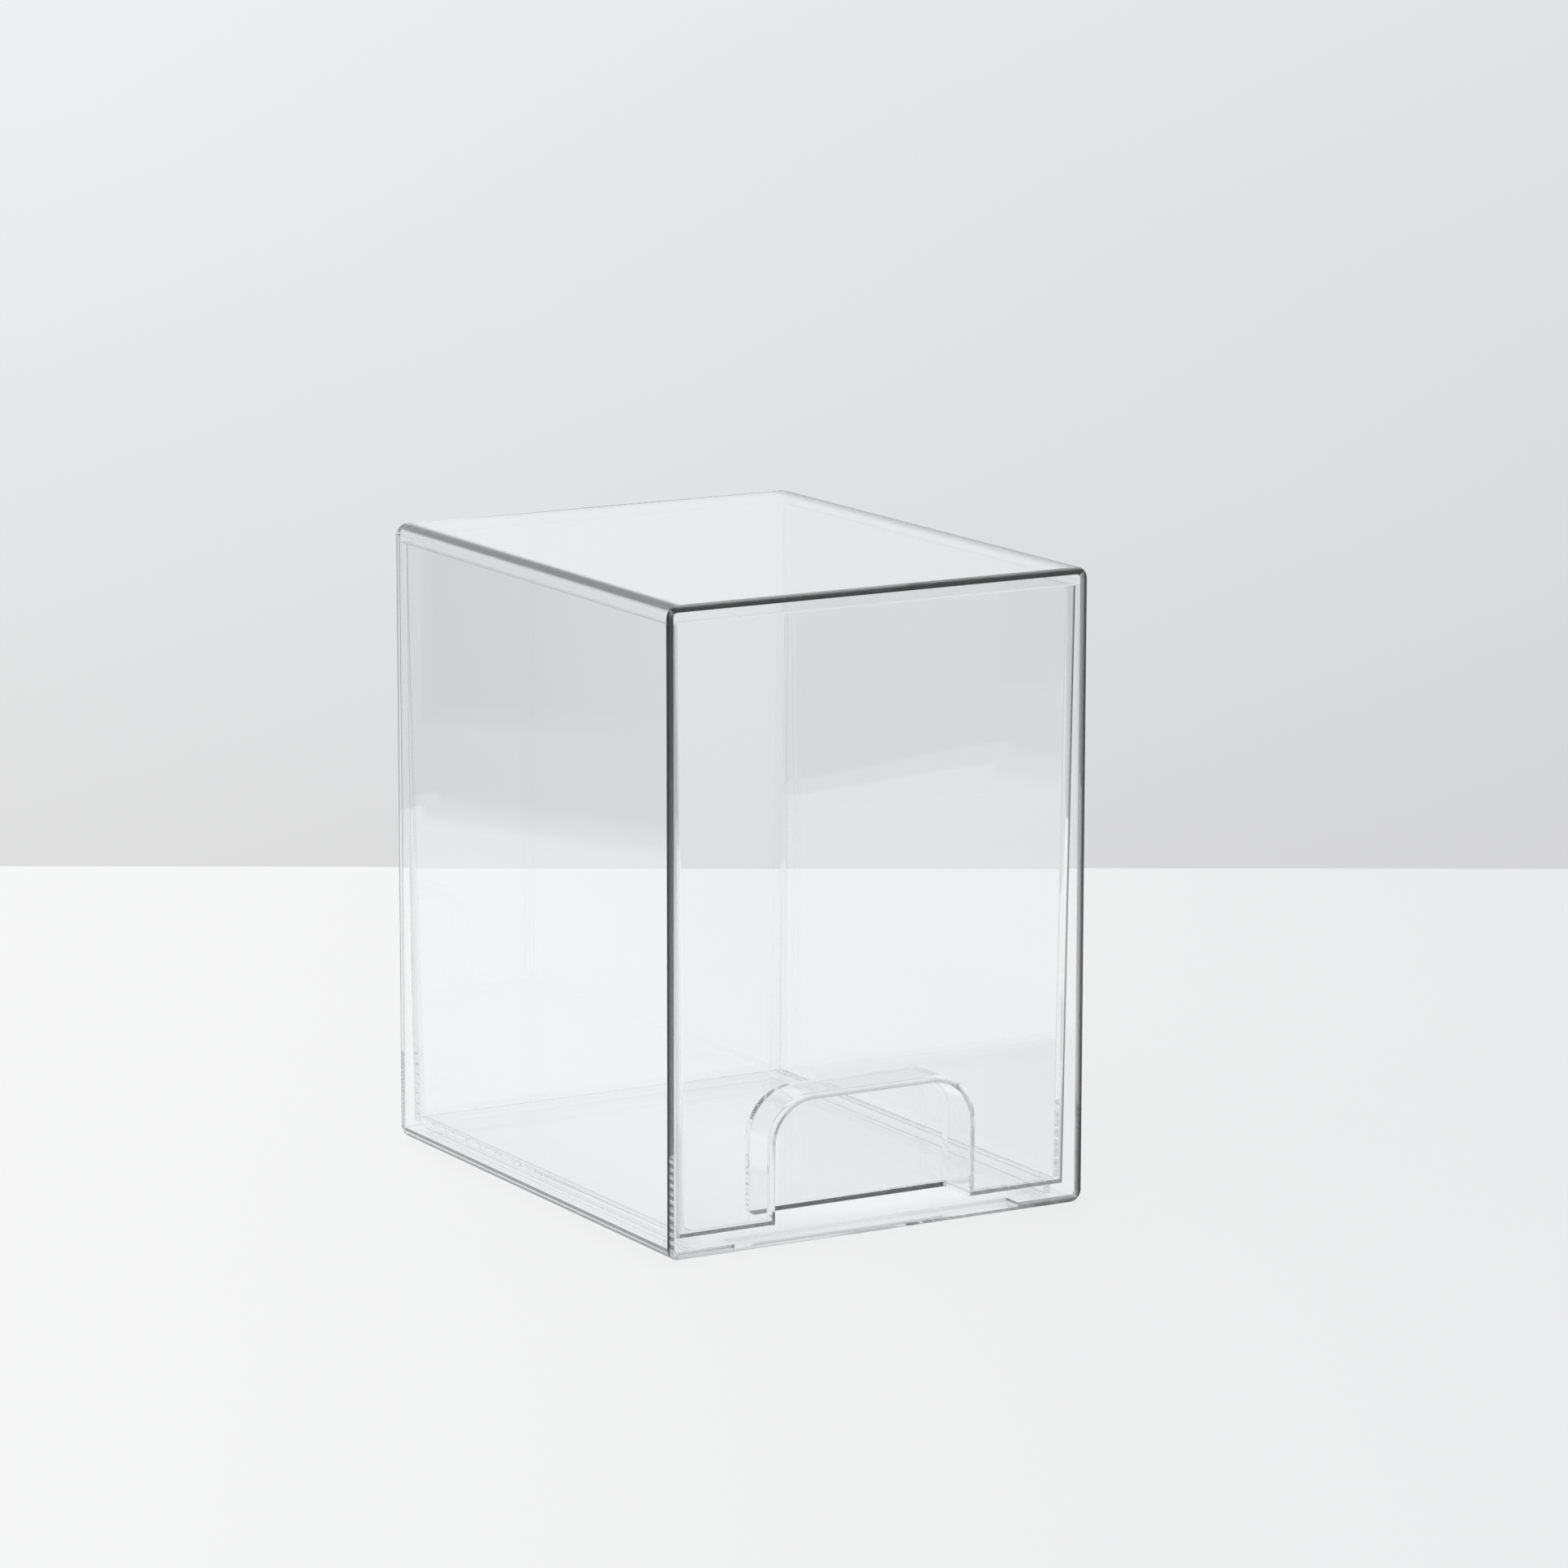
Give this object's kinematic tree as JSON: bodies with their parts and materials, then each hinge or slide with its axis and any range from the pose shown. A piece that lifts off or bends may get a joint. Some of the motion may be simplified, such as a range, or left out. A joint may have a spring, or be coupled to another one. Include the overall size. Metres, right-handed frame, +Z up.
{
  "type": "stackable drawer organizer",
  "caption": "Clear moulded box, open at the front, with a deep pull-out drawer that has an arched finger pocket; its flat top carries another unit on bumper feet.",
  "frame": {"origin": "centre of the unit's outline from above, on the surface that the feet stand on", "axes": "+Z up, the open front and the drawer face -Y, +X to the right as seen from the front"},
  "size_m": [0.1252, 0.1526, 0.1713],
  "materials": {
    "clear_case": "polished, crystal clear",
    "clear_drawer": "polished, crystal clear",
    "clear_bumper": "soft, clear, satin"
  },
  "bodies": {
    "case": {"outer_case": "clear_case", "foot_front_left": "clear_bumper", "foot_front_right": "clear_bumper", "foot_back_left": "clear_bumper", "foot_back_right": "clear_bumper"},
    "drawer": {"drawer": "clear_drawer"}
  },
  "joints": [
    {"name": "drawer_slide", "type": "slide", "parent": "case", "child": "drawer", "axis": [0, -1, 0], "range_m": [0, 0.125]}
  ]
}
